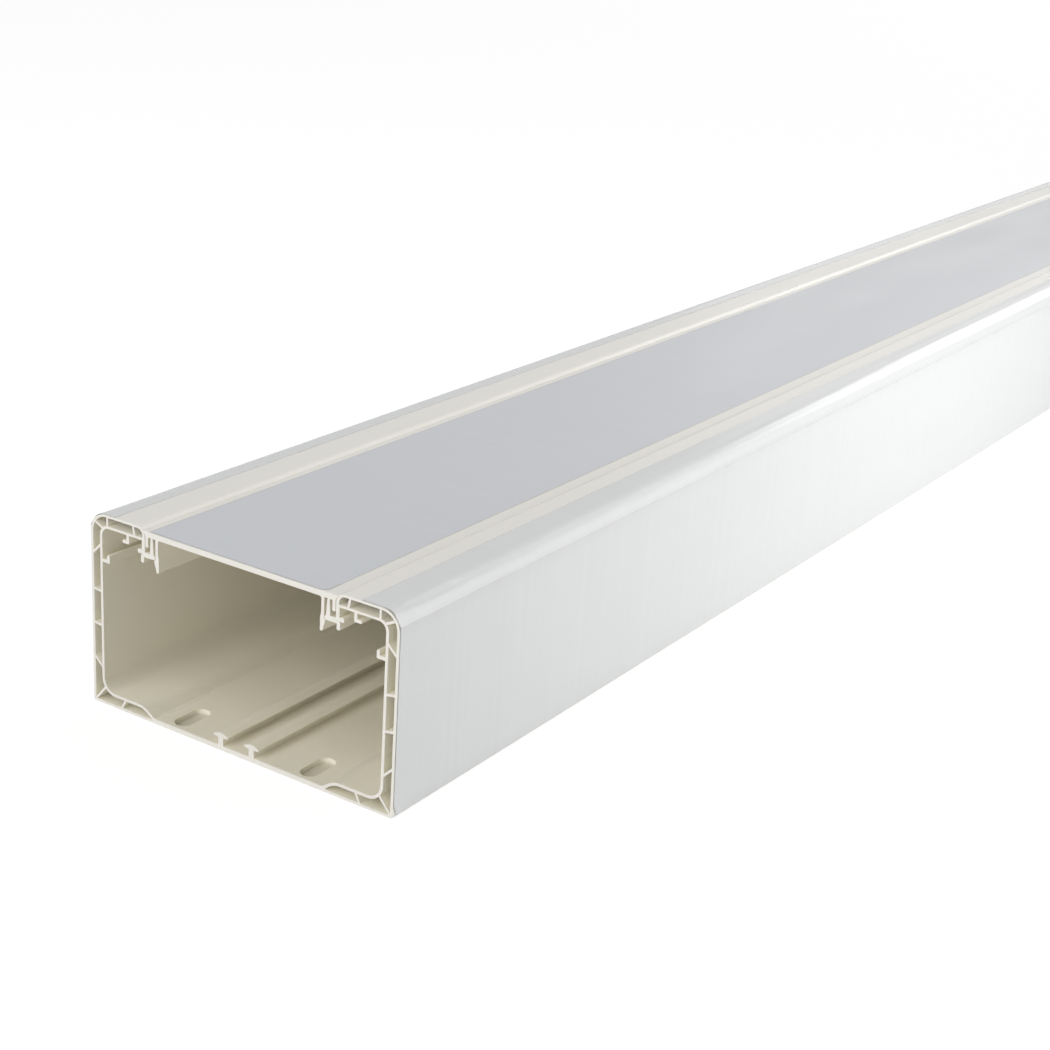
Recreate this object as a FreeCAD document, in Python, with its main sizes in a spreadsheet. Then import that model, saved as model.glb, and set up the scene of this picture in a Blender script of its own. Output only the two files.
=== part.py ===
import FreeCAD, Part
import math
import os
import Sketcher

# One length of twin-walled trunking with its clip-in lid and the film that protects both.
# X runs along the length, Y across the width, Z up from the back that goes on the wall.
# The origin is the middle of the back. All sizes are in millimetres.

doc = FreeCAD.newDocument("trunking")

# Every size that can be chosen by itself, with what it measures.
drivingSizes = [
    ("length", 2000, "stock length"),
    ("width", 130, "outside width of the base"),
    ("height", 70, "back to the top of the flanges"),
    ("cornerRound", 7, "radius of the two long front edges"),
    ("backRound", 0.8, "radius of the two long back edges"),
    ("skin", 1.05, "each skin of the twin side wall and back"),
    ("flangeSkin", 0.85, "each skin of the twin flange"),
    ("wall", 5.2, "side wall over both skins"),
    ("flange", 4.7, "front flange over both skins"),
    ("hump", 5.1, "twin back beside each side wall, over both skins"),
    ("floorSkin", 1.85, "single back between the two humps"),
    ("innerFrontRound", 3, "cavity corner under each flange"),
    ("innerBackRound", 5, "cavity corner over each hump"),
    ("rampTop", 23.9, "side face to where the hump starts to slope down"),
    ("rampRun", 4.5, "run of that slope down to the floor, across the width"),
    ("rampTopRound", 9, "radius at the top of the slope"),
    ("rampFootRound", 1.5, "radius at the foot of the slope"),
    ("webThickness", 0.8, "webs between the two skins"),
    ("flangeWebOuter", 7.6, "side face to the first flange web"),
    ("flangeWebInner", 19.7, "side face to the second flange web"),
    ("flangeWebLean", 0.8, "how far the second flange web leans"),
    ("frontWebOuterAngle", 36, "degrees from level, outer end of the front corner web"),
    ("frontWebInnerAngle", 46, "degrees from level, inner end of the front corner web"),
    ("highBraceDrop", 13, "front to the middle of the upper slanting wall web"),
    ("highBraceRise", 4.1, "rise of that web towards the cavity"),
    ("upperWebDrop", 28, "front to the upper straight wall web"),
    ("lowerWebHeight", 29.5, "back to the lower straight wall web"),
    ("wallWebFall", 0.6, "fall of the two straight webs towards the cavity"),
    ("lowBraceHeight", 15.5, "back to the middle of the lower slanting wall web"),
    ("lowBraceFall", 4.1, "fall of that web towards the cavity"),
    ("backWebPlace", 14.1, "side face to the web inside the hump"),
    ("backWebLean", 2.3, "how far that web leans"),
    ("backCornerAngle", 38, "degrees from level, inner end of the back corner web"),
    ("flangeReach", 24.75, "side face to the lip"),
    ("lipFlat", 1.4, "straight part of each lip, below its round"),
    ("legThickness", 1.4, "leg that hangs from each lip"),
    ("legDrop", 12.4, "front to the lower end of the leg"),
    ("legJog", 0.4, "outward step of the leg below its foot"),
    ("knobRound", 0.85, "radius of the bead on the leg"),
    ("knobNeck", 1.2, "neck between the leg and its bead"),
    ("knobReach", 2.45, "lip face to the middle of the bead"),
    ("knobDrop", 8.7, "front to the middle of the bead"),
    ("footDrop", 8.6, "front to the bottom of the channel that takes the lid"),
    ("footThickness", 1.75, "foot under that channel"),
    ("channelWidth", 2.2, "leg to ridge, at the channel's bottom"),
    ("ridgeThickness", 1.7, "ridge at its root"),
    ("ridgeTaper", 0.4, "narrowing of each side of the ridge at its tip"),
    ("toeReach", 0.6, "foot beyond the ridge, under which the lid snaps"),
    ("toeThickness", 0.5, "tip of that toe"),
    ("lidThickness", 2, "plate of the lid"),
    ("lidRecess", 1, "lid top below the flange tops"),
    ("sideClearance", 0.25, "lid edge to lip"),
    ("snapClearance", 0.2, "snap leg to toe"),
    ("lidEdgeRound", 0.4, "radius of the lid's long edges"),
    ("guideThickness", 1.2, "guide leg at each edge of the lid"),
    ("guideLength", 3.6, "guide leg below the plate"),
    ("snapThickness", 1.15, "snap leg of the lid"),
    ("barbReach", 0.6, "barb beyond the snap leg"),
    ("barbLength", 4.6, "barb from its ledge to its tip"),
    ("barbLedgeFall", 0.6, "fall of the barb's ledge from the leg to its edge"),
    ("barbTip", 0.95, "barb at its tip"),
    ("barbBack", 0.35, "inward step of the snap leg beside the barb"),
    ("barbBackRise", 1.6, "ledge to where that step starts"),
    ("snapRootRound", 0.8, "radius where the snap leg leaves the plate"),
    ("flangeHookPlace", 17, "side face to the stem of the hook under the flange"),
    ("flangeHookDrop", 3.1, "flange to the bottom of that hook"),
    ("flangeHookReach", 2.9, "toe to the far side of the stem"),
    ("wallHookDrop", 17.2, "front to the underside of the hook on the side wall"),
    ("wallHookReach", 3.3, "wall to the end of that hook"),
    ("wallHookRise", 2.9, "underside to the tip of that hook"),
    ("hookThickness", 1.15, "all four hooks"),
    ("railSpacing", 13.3, "middle to middle of the two back rails"),
    ("railHeight", 6.45, "top of the rails above the back"),
    ("railStem", 2.2, "stem of a rail"),
    ("railHead", 6.3, "head of a rail"),
    ("railHeadEdge", 0.5, "head of a rail at its edges"),
    ("railHeadDome", 1, "height of the dome over those edges"),
    ("railHeadFlat", 1.6, "flat on top of the dome"),
    ("slotLength", 14.8, "fixing slot, end to end"),
    ("slotWidth", 6.5, "fixing slot across"),
    ("slotPlace", 37.5, "side face to the middle of the slots"),
    ("slotEnd", 9, "end of the stock to the middle of the first slots"),
    ("slotPairs", 6, "pairs of slots along the length"),
    ("filmThickness", 0.1, "protective film"),
    ("lidFilmLeftInset", 1.8, "left edge of the lid to its film"),
    ("lidFilmRightInset", 4.1, "right edge of the lid to its film"),
    ("leftFilmReach", 11, "film on the left flange, from the side face"),
    ("rightFilmReach", 15, "film on the right flange, from the side face"),
    ("filmLift", 0.9, "lower edge of the side films above the back"),
    ("hollowRound", 0.3, "small corners of the hollow"),
    ("tipRound", 0.3, "small ends of legs, hooks and rails"),
]

sheet = doc.addObject("Spreadsheet::Sheet", "dims")
for row, (alias, number, meaning) in enumerate(drivingSizes, start=1):
    sheet.set(f"A{row}", meaning)
    sheet.set(f"B{row}", str(number))
    sheet.setAlias(f"B{row}", alias)
doc.recompute()


class Size:
    # A size is a number now and the expression over the sheet that keeps it true.
    def __init__(self, value, text):
        self.value = value
        self.text = text

    def join(self, other, sign, value):
        return Size(value, f"({self.text} {sign} {asSize(other).text})")

    def __add__(self, other):
        return self.join(other, "+", self.value + asSize(other).value)

    def __sub__(self, other):
        return self.join(other, "-", self.value - asSize(other).value)

    def __mul__(self, other):
        return self.join(other, "*", self.value * asSize(other).value)

    def __truediv__(self, other):
        return self.join(other, "/", self.value / asSize(other).value)


def asSize(thing):
    return thing if isinstance(thing, Size) else Size(float(thing), repr(float(thing)))


dim = {alias: Size(float(sheet.get(alias)), f"dims.{alias}") for alias, _, _ in drivingSizes}
zero = asSize(0)


# Places that several pieces share, for the half of the section on the +Y side.
sideFace = dim["width"] / 2
cavitySide = sideFace - dim["wall"]
flangeUnder = dim["height"] - dim["flange"]
lipFace = sideFace - dim["flangeReach"]
lipRound = dim["flange"] - dim["lipFlat"]
rampTop = sideFace - dim["rampTop"]
rampFoot = rampTop - dim["rampRun"]
lidUnder = dim["height"] - dim["lidRecess"] - dim["lidThickness"]
lidTop = dim["height"] - dim["lidRecess"]
footTop = dim["height"] - dim["footDrop"]
footUnder = footTop - dim["footThickness"]
ridgeOuter = lipFace - dim["channelWidth"]
ridgeInner = ridgeOuter - dim["ridgeThickness"]
toeTip = ridgeInner - dim["toeReach"]
toeMiddle = footUnder + dim["footThickness"] / 2


# The sketch's numbers for the points of a line or arc, and for its own origin.
startPoint, endPoint, middlePoint = range(1, 4)
sketchOrigin = (-1, startPoint)


def newBody(label):
    body = doc.addObject("PartDesign::Body", label)
    body.Label = label
    return body


def newSketch(body, name, role):
    sketch = body.newObject("Sketcher::SketchObject", name)
    plane = next(feature for feature in body.Origin.OriginFeatures if feature.Role == role)
    sketch.AttachmentSupport = [(plane, "")]
    sketch.MapMode = "FlatFace"
    return sketch


def pinPoint(sketch, geometry, position, across, up):
    # Holds a point at its two distances from the origin.
    for kind, size in (("DistanceX", across), ("DistanceY", up)):
        constraint = Sketcher.Constraint(kind, *sketchOrigin, geometry, position, size.value)
        index = sketch.addConstraint(constraint)
        sketch.setExpression(f"Constraints[{index}]", size.text)


def pinRadius(sketch, geometry, size):
    index = sketch.addConstraint(Sketcher.Constraint("Radius", geometry, size.value))
    sketch.setExpression(f"Constraints[{index}]", size.text)


def cornerArc(before, corner, after, radius):
    # Arc that rounds a corner: where it starts and ends, and whether it turns left.
    arriving = (corner - before).normalize()
    leaving = (after - corner).normalize()
    turnsLeft = arriving.cross(leaving).z > 0
    tangent = radius * math.tan(arriving.getAngle(leaving) / 2)
    start = corner - arriving * tangent
    end = corner + leaving * tangent
    normal = FreeCAD.Vector(-arriving.y, arriving.x, 0)
    centre = start + normal * (radius if turnsLeft else -radius)
    return start, end, centre, turnsLeft


def addLoop(sketch, corners):
    # A closed loop of straight sides. A corner is (across, up) or (across, up, radius).
    points = [FreeCAD.Vector(corner[0].value, corner[1].value, 0) for corner in corners]
    count = len(corners)
    arcs = {}
    for index, corner in enumerate(corners):
        if len(corner) == 3:
            before = points[index - 1]
            after = points[(index + 1) % count]
            arcs[index] = cornerArc(before, points[index], after, corner[2].value)
    lines = []
    for index in range(count):
        following = (index + 1) % count
        start = arcs[index][1] if index in arcs else points[index]
        end = arcs[following][0] if following in arcs else points[following]
        lines.append(sketch.addGeometry(Part.LineSegment(start, end), False))
    for index, corner in enumerate(corners):
        incoming, outgoing = lines[index - 1], lines[index]
        if index not in arcs:
            meeting = (incoming, endPoint, outgoing, startPoint)
            sketch.addConstraint(Sketcher.Constraint("Coincident", *meeting))
            pinPoint(sketch, outgoing, startPoint, corner[0], corner[1])
            continue
        start, end, centre, turnsLeft = arcs[index]
        circle = Part.Circle(centre, FreeCAD.Vector(0, 0, 1), corner[2].value)
        first, last = (start, end) if turnsLeft else (end, start)
        span = [circle.parameter(first), circle.parameter(last)]
        arc = sketch.addGeometry(Part.ArcOfCircle(circle, *span), False)
        arrive, leave = (startPoint, endPoint) if turnsLeft else (endPoint, startPoint)
        mark = sketch.addGeometry(Part.Point(points[index]), True)
        sketch.addConstraint(Sketcher.Constraint("Tangent", incoming, endPoint, arc, arrive))
        sketch.addConstraint(Sketcher.Constraint("Tangent", outgoing, startPoint, arc, leave))
        for side in (incoming, outgoing):
            sketch.addConstraint(Sketcher.Constraint("PointOnObject", mark, startPoint, side))
        pinPoint(sketch, mark, startPoint, corner[0], corner[1])
        pinRadius(sketch, arc, corner[2])


def addCircle(sketch, across, up, radius):
    middle = FreeCAD.Vector(across.value, up.value, 0)
    circle = sketch.addGeometry(Part.Circle(middle, FreeCAD.Vector(0, 0, 1), radius.value), False)
    pinPoint(sketch, circle, middlePoint, across, up)
    pinRadius(sketch, circle, radius)


def padAlong(body, sketch, name):
    # Extrudes a section along the whole stock, half to each side of the middle.
    pad = body.newObject("PartDesign::Pad", name)
    pad.Profile = sketch
    pad.SideType = "Symmetric"
    pad.setExpression("Length", "dims.length")
    doc.recompute()
    return pad


def sectionPad(body, name, *loops):
    sketch = newSketch(body, f"{name}_section", "YZ_Plane")
    for loop in loops:
        addLoop(sketch, loop)
    return padAlong(body, sketch, name)


def mirrorHalf(body, name):
    mirrored = body.newObject("PartDesign::Mirrored", name)
    plane = next(feature for feature in body.Origin.OriginFeatures if feature.Role == "XZ_Plane")
    mirrored.MirrorPlane = (plane, [""])
    mirrored.TransformMode = "Whole shape"
    body.Tip = mirrored
    doc.recompute()


def shellLoop():
    # Solid half section from the middle of the back round to the lip.
    return [
        (zero, zero),
        (sideFace, zero, dim["backRound"]),
        (sideFace, dim["height"], dim["cornerRound"]),
        (lipFace, dim["height"], lipRound),
        (lipFace, flangeUnder),
        (cavitySide, flangeUnder, dim["innerFrontRound"]),
        (cavitySide, dim["hump"], dim["innerBackRound"]),
        (rampTop, dim["hump"], dim["rampTopRound"]),
        (rampFoot, dim["floorSkin"], dim["rampFootRound"]),
        (zero, dim["floorSkin"]),
    ]


def hypotenuse(first, second):
    text = f"sqrt(({first.text})^2 + ({second.text})^2)"
    return Size(math.hypot(first.value, second.value), text)


def onRound(across, up, radius, angle):
    # Point at an angle from level on a round about a middle, on its side-wall side.
    turn = math.radians(angle.value)
    cosine = Size(math.cos(turn), f"cos({angle.text} * 1 deg)")
    sine = Size(math.sin(turn), f"sin({angle.text} * 1 deg)")
    return across + radius * cosine, up + radius * sine


def rampPlace(level):
    # Across the width to the slope's underside at a level, square to the slope.
    run = dim["rampRun"]
    fall = dim["hump"] - dim["floorSkin"]
    squareSkin = hypotenuse(run, fall) * dim["skin"] / fall
    return rampTop + squareSkin - (dim["hump"] - level) * run / fall


def hollowLoop():
    # The space between the two skins, from the lip round to the slope of the hump.
    outer = sideFace - dim["skin"]
    inner = cavitySide + dim["skin"]
    humpUnder = dim["hump"] - dim["skin"]
    top = dim["height"] - dim["flangeSkin"]
    bottom = flangeUnder + dim["flangeSkin"]
    return [
        (rampPlace(dim["skin"]), dim["skin"], dim["hollowRound"]),
        (outer, dim["skin"], dim["hollowRound"]),
        (outer, top, dim["cornerRound"] - dim["skin"]),
        (lipFace + dim["skin"], top, lipRound - dim["flangeSkin"]),
        (lipFace + dim["skin"], bottom, dim["hollowRound"]),
        (inner, bottom, dim["innerFrontRound"] + dim["flangeSkin"]),
        (inner, humpUnder, dim["innerBackRound"] + dim["skin"]),
        (rampPlace(humpUnder), humpUnder, dim["rampTopRound"] - dim["skin"]),
    ]


def webLoop(start, end):
    # Web of even thickness between two points, which lie inside the two skins.
    across = end[0] - start[0]
    up = end[1] - start[1]
    share = dim["webThickness"] / 2 / hypotenuse(across, up)
    shiftAcross = up * share
    shiftUp = across * share
    return [
        (start[0] + shiftAcross, start[1] - shiftUp),
        (end[0] + shiftAcross, end[1] - shiftUp),
        (end[0] - shiftAcross, end[1] + shiftUp),
        (start[0] - shiftAcross, start[1] + shiftUp),
    ]


def wallWeb(middle, rise):
    # Web across the side wall. A rise goes up towards the cavity.
    outer = sideFace - dim["skin"] / 2
    inner = cavitySide + dim["skin"] / 2
    return webLoop((outer, middle - rise / 2), (inner, middle + rise / 2))


def flangeWeb(place, lean):
    # Web between the flange's skins. A lean moves its lower end towards the lip.
    front = dim["height"] - dim["flangeSkin"] / 2
    under = flangeUnder + dim["flangeSkin"] / 2
    middle = sideFace - place
    return webLoop((middle + lean / 2, front), (middle - lean / 2, under))


def backWeb():
    # Web inside the hump. Its upper end is further from the side wall.
    middle = sideFace - dim["backWebPlace"]
    lean = dim["backWebLean"] / 2
    under = dim["skin"] / 2
    return webLoop((middle + lean, under), (middle - lean, dim["hump"] - under))


def frontCornerWeb():
    # Web between the outer and the inner round of the front corner.
    half = dim["skin"] / 2
    outer = onRound(
        sideFace - dim["cornerRound"],
        dim["height"] - dim["cornerRound"],
        dim["cornerRound"] - half,
        dim["frontWebOuterAngle"],
    )
    inner = onRound(
        cavitySide - dim["innerFrontRound"],
        flangeUnder - dim["innerFrontRound"],
        dim["innerFrontRound"] + half,
        dim["frontWebInnerAngle"],
    )
    return webLoop(outer, inner)


def backCornerWeb():
    # Web from the sharp back corner to the inner round of that corner.
    half = dim["skin"] / 2
    inner = onRound(
        cavitySide - dim["innerBackRound"],
        dim["hump"] + dim["innerBackRound"],
        dim["innerBackRound"] + half,
        dim["backCornerAngle"] * -1,
    )
    return webLoop((sideFace - dim["skin"], dim["skin"]), inner)


def clipLoop():
    # Leg below the lip, the foot that turns inwards, its ridge and the toe.
    legOuter = lipFace + dim["legThickness"]
    legBottom = dim["height"] - dim["legDrop"]
    toeHalf = dim["toeThickness"] / 2
    return [
        (lipFace, flangeUnder + dim["flangeSkin"] / 2),
        (lipFace, footTop),
        (ridgeOuter, footTop),
        (ridgeOuter - dim["ridgeTaper"], lidUnder, dim["tipRound"]),
        (ridgeInner + dim["ridgeTaper"], lidUnder, dim["tipRound"]),
        (ridgeInner, footTop),
        (toeTip, toeMiddle + toeHalf),
        (toeTip, toeMiddle - toeHalf),
        (ridgeInner, footUnder),
        (lipFace + dim["legJog"], footUnder),
        (lipFace + dim["legJog"], legBottom, dim["tipRound"]),
        (legOuter + dim["legJog"], legBottom, dim["tipRound"]),
        (legOuter + dim["legJog"], footUnder),
        (legOuter, footTop),
        (legOuter, flangeUnder + dim["flangeSkin"] / 2),
    ]


def knobNeckLoop():
    # Short neck between the leg and its bead.
    half = dim["knobNeck"] / 2
    middle = lipFace + dim["knobReach"]
    height = dim["height"] - dim["knobDrop"]
    return [
        (lipFace + dim["legThickness"] / 2, height - half),
        (middle, height - half),
        (middle, height + half),
        (lipFace + dim["legThickness"] / 2, height + half),
    ]


def flangeHookLoop():
    # Hook that hangs from the flange with its toe towards the side wall.
    half = dim["hookThickness"] / 2
    stem = sideFace - dim["flangeHookPlace"]
    bottom = flangeUnder - dim["flangeHookDrop"]
    return [
        (stem - half, flangeUnder + dim["flangeSkin"] / 2),
        (stem - half, bottom, dim["tipRound"]),
        (stem - half + dim["flangeHookReach"], bottom, dim["tipRound"]),
        (stem - half + dim["flangeHookReach"], bottom + dim["hookThickness"], dim["tipRound"]),
        (stem + half, bottom + dim["hookThickness"]),
        (stem + half, flangeUnder + dim["flangeSkin"] / 2),
    ]


def wallHookLoop():
    # Hook on the side wall with its tip turned up.
    end = cavitySide - dim["wallHookReach"]
    under = dim["height"] - dim["wallHookDrop"]
    top = under + dim["wallHookRise"]
    ledge = under + dim["hookThickness"]
    return [
        (cavitySide + dim["skin"] / 2, under),
        (cavitySide + dim["skin"] / 2, ledge),
        (end + dim["hookThickness"], ledge),
        (end + dim["hookThickness"], top, dim["tipRound"]),
        (end, top, dim["tipRound"]),
        (end, under, dim["tipRound"]),
    ]


def railLoop():
    # Mushroom-headed rail on the back.
    middle = dim["railSpacing"] / 2
    stem = dim["railStem"] / 2
    head = dim["railHead"] / 2
    flat = dim["railHeadFlat"] / 2
    shoulder = dim["railHeight"] - dim["railHeadDome"]
    under = shoulder - dim["railHeadEdge"]
    return [
        (middle + stem, dim["floorSkin"] / 2),
        (middle + stem, under - dim["tipRound"]),
        (middle + head, under),
        (middle + head, shoulder),
        (middle + flat, dim["railHeight"], dim["railHeadFlat"]),
        (middle - flat, dim["railHeight"], dim["railHeadFlat"]),
        (middle - head, shoulder),
        (middle - head, under),
        (middle - stem, under - dim["tipRound"]),
        (middle - stem, dim["floorSkin"] / 2),
    ]


def addSlot(sketch, along, across, length, width):
    # Slot with round ends along the sketch's first axis.
    radius = width / 2
    reach = length / 2 - radius
    up = FreeCAD.Vector(0, 0, 1)
    arcs = []
    for side in (1, -1):
        middle = FreeCAD.Vector((along + reach * side).value, across.value, 0)
        circle = Part.Circle(middle, up, radius.value)
        start = -side * math.pi / 2
        arc = sketch.addGeometry(Part.ArcOfCircle(circle, start, start + math.pi), False)
        pinPoint(sketch, arc, middlePoint, along + reach * side, across)
        arcs.append(arc)
    pinRadius(sketch, arcs[0], radius)
    for first, second in (arcs, arcs[::-1]):
        ends = [sketch.getPoint(first, endPoint), sketch.getPoint(second, startPoint)]
        line = sketch.addGeometry(Part.LineSegment(*ends), False)
        for joint in ((first, endPoint, line, startPoint), (line, endPoint, second, startPoint)):
            sketch.addConstraint(Sketcher.Constraint("Tangent", *joint))


def cutSlots(body):
    # Rounded fixing slots through the single back, in pairs along the length.
    sketch = newSketch(body, "slot_outline", "XY_Plane")
    first = dim["slotEnd"] - dim["length"] / 2
    row = sideFace - dim["slotPlace"]
    addSlot(sketch, first, row, dim["slotLength"], dim["slotWidth"])
    pocket = body.newObject("PartDesign::Pocket", "slot")
    pocket.Profile = sketch
    pocket.SideType = "Symmetric"
    pocket.Type = "ThroughAll"
    doc.recompute()
    pattern = body.newObject("PartDesign::LinearPattern", "slot_row")
    pattern.Originals = [pocket]
    pattern.Direction = (sketch, ["H_Axis"])
    pattern.setExpression("Length", "dims.length - 2 * dims.slotEnd")
    pattern.setExpression("Occurrences", "dims.slotPairs")
    body.Tip = pattern
    doc.recompute()


def makeBase():
    body = newBody("trunking_base")
    sectionPad(body, "shell", shellLoop())
    solidVolume = body.Shape.Volume
    hollow = newSketch(body, "hollow_section", "YZ_Plane")
    addLoop(hollow, hollowLoop())
    pocket = body.newObject("PartDesign::Pocket", "hollow")
    pocket.Profile = hollow
    pocket.SideType = "Symmetric"
    pocket.Type = "ThroughAll"
    doc.recompute()
    assert body.Shape.Volume < solidVolume, "the hollow cut nothing"
    sectionPad(
        body,
        "webs",
        wallWeb(dim["height"] - dim["highBraceDrop"], dim["highBraceRise"]),
        wallWeb(dim["height"] - dim["upperWebDrop"], dim["wallWebFall"] * -1),
        wallWeb(dim["lowerWebHeight"], dim["wallWebFall"] * -1),
        wallWeb(dim["lowBraceHeight"], dim["lowBraceFall"] * -1),
        flangeWeb(dim["flangeWebOuter"], zero),
        flangeWeb(dim["flangeWebInner"], dim["flangeWebLean"]),
        backWeb(),
        frontCornerWeb(),
        backCornerWeb(),
    )
    sectionPad(body, "clip", clipLoop())
    sectionPad(body, "knob_neck", knobNeckLoop())
    knob = newSketch(body, "knob_section", "YZ_Plane")
    knobHeight = dim["height"] - dim["knobDrop"]
    addCircle(knob, lipFace + dim["knobReach"], knobHeight, dim["knobRound"])
    padAlong(body, knob, "knob")
    sectionPad(body, "hooks", flangeHookLoop(), wallHookLoop())
    sectionPad(body, "rail", railLoop())
    webbedVolume = body.Shape.Volume
    cutSlots(body)
    assert body.Shape.Volume < webbedVolume, "the slots cut nothing"
    mirrorHalf(body, "both_halves")
    return body


def lidLoop():
    # Half of the lid: plate, guide leg at the edge and snap leg with its barb.
    edge = lipFace - dim["sideClearance"]
    guideInner = edge - dim["guideThickness"]
    guideEnd = lidUnder - dim["guideLength"]
    snapOuter = toeTip - dim["snapClearance"]
    snapInner = snapOuter - dim["snapThickness"]
    ledge = toeMiddle - dim["toeThickness"] / 2 - dim["snapClearance"]
    barbInner = snapInner - dim["barbBack"]
    barbEnd = ledge - dim["barbLength"]
    return [
        (zero, lidUnder),
        (snapInner, lidUnder, dim["snapRootRound"]),
        (snapInner, ledge + dim["barbBackRise"]),
        (barbInner, ledge),
        (barbInner, barbEnd, dim["tipRound"]),
        (barbInner + dim["barbTip"], barbEnd, dim["tipRound"]),
        (snapOuter + dim["barbReach"], ledge - dim["barbLedgeFall"]),
        (snapOuter, ledge),
        (snapOuter, lidUnder),
        (guideInner, lidUnder),
        (guideInner, guideEnd, dim["tipRound"]),
        (edge, guideEnd, dim["tipRound"]),
        (edge, lidTop, dim["lidEdgeRound"]),
        (zero, lidTop),
    ]


def makeLid():
    body = newBody("trunking_lid")
    sectionPad(body, "lid_half", lidLoop())
    mirrorHalf(body, "lid_both_halves")
    return body


def makeLidFilm():
    # The film was laid a little to the left of the lid's middle.
    body = newBody("lid_film")
    lidEdge = lipFace - dim["sideClearance"]
    left = lidEdge - dim["lidFilmLeftInset"]
    right = (lidEdge - dim["lidFilmRightInset"]) * -1
    sectionPad(body, "lid_film_strip", [
        (right, lidTop),
        (left, lidTop),
        (left, lidTop + dim["filmThickness"]),
        (right, lidTop + dim["filmThickness"]),
    ])
    return body


def makeSideFilm(label, reach, side):
    # Film up one side wall, round the corner and part of the way over the flange.
    # Side is 1 for +Y and -1 for -Y.
    outside = sideFace + dim["filmThickness"]
    front = dim["height"] + dim["filmThickness"]
    body = newBody(label)
    sectionPad(body, f"{label}_strip", [
        (sideFace * side, dim["filmLift"]),
        (outside * side, dim["filmLift"]),
        (outside * side, front, dim["cornerRound"] + dim["filmThickness"]),
        ((sideFace - reach) * side, front),
        ((sideFace - reach) * side, dim["height"]),
        (sideFace * side, dim["height"], dim["cornerRound"]),
    ])
    return body


pieces = [
    makeBase(),
    makeLid(),
    makeLidFilm(),
    makeSideFilm("side_film_left", dim["leftFilmReach"], 1),
    makeSideFilm("side_film_right", dim["rightFilmReach"], -1),
]

for thing in doc.Objects:
    assert "Invalid" not in thing.State, f"{thing.Label} is invalid"
    assert "Error" not in thing.State, f"{thing.Label} has an error"

os.makedirs("parts", exist_ok=True)
for piece in pieces:
    shape = piece.Shape
    assert not shape.isNull(), f"{piece.Label} has no shape"
    assert shape.isValid(), f"{piece.Label} is not valid"
    assert len(shape.Solids) == 1, f"{piece.Label} is not one solid"
    print(piece.Label, "volume", round(shape.Volume), "box", shape.BoundBox)
    shape.exportStep(f"parts/{piece.Label}.step")
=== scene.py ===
import bpy
import math
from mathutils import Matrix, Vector
from mathutils.geometry import delaunay_2d_cdt, intersect_point_line


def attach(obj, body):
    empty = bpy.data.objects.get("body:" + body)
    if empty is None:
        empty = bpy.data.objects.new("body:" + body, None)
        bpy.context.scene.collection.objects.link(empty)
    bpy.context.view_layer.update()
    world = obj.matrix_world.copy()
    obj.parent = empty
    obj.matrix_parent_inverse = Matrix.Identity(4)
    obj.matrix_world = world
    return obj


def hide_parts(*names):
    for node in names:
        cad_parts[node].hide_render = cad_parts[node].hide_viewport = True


# One length of twin-walled trunking with its clip-in lid and protective film.
# X runs along the length, Y across the width, Z up from the back. The near end is at -X.
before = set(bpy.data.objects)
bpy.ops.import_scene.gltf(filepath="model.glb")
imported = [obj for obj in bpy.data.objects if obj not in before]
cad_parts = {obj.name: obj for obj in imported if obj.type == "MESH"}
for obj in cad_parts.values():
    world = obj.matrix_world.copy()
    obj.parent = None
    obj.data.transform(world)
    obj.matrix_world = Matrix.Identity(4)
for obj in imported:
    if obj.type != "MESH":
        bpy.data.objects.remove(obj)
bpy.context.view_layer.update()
print("stage: frame loaded")

mm = 0.001
weldDistance = 1e-7
noiseRoughness = 0.55
squareCorners = ((-1, -1), (1, -1), (1, 1), (-1, 1))


# Small helpers for node trees.

def addNode(tree, kind, inputs=None, **settings):
    node = tree.nodes.new(kind)
    for name, value in settings.items():
        setattr(node, name, value)
    for name, value in (inputs or {}).items():
        if isinstance(value, bpy.types.NodeSocket):
            tree.links.new(value, node.inputs[name])
        else:
            node.inputs[name].default_value = value
    return node


def nodeOut(tree, kind, inputs=None, **settings):
    return addNode(tree, kind, inputs, **settings).outputs[0]


def maths(tree, operation, first, second=0.0):
    inputs = {0: first, 1: second}
    return nodeOut(tree, "ShaderNodeMath", inputs, operation=operation)


def plus(tree, first, second):
    return maths(tree, "ADD", first, second)


def minus(tree, first, second):
    return maths(tree, "SUBTRACT", first, second)


def times(tree, first, second):
    return maths(tree, "MULTIPLY", first, second)


def vectorMaths(tree, operation, first, second=(0, 0, 0)):
    inputs = {0: first, 1: second}
    return nodeOut(tree, "ShaderNodeVectorMath", inputs, operation=operation)


def scaleVector(tree, vector, factor):
    inputs = {0: vector, "Scale": factor}
    return nodeOut(tree, "ShaderNodeVectorMath", inputs, operation="SCALE")


def combine(tree, **parts):
    return nodeOut(tree, "ShaderNodeCombineXYZ", parts)


def separate(tree, vector):
    return addNode(tree, "ShaderNodeSeparateXYZ", {0: vector}).outputs


def stepBetween(tree, value, low, high):
    # Runs smoothly from nothing at the first number to one at the second.
    return nodeOut(tree, "ShaderNodeMapRange", {"Value": value, "From Min": low, "From Max": high},
                   interpolation_type="SMOOTHSTEP")


def newGeometryTree(name, sockets):
    # A tree with a geometry input and output and the named inputs that a user may change.
    tree = bpy.data.node_groups.new(name, "GeometryNodeTree")
    tree.interface.new_socket("Geometry", in_out="OUTPUT", socket_type="NodeSocketGeometry")
    tree.interface.new_socket("Geometry", in_out="INPUT", socket_type="NodeSocketGeometry")
    for label, kind in sockets:
        tree.interface.new_socket(label, in_out="INPUT", socket_type=f"NodeSocket{kind}")
    start = tree.nodes.new("NodeGroupInput")
    end = tree.nodes.new("NodeGroupOutput")
    return tree, start.outputs, end.inputs[0]


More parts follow.
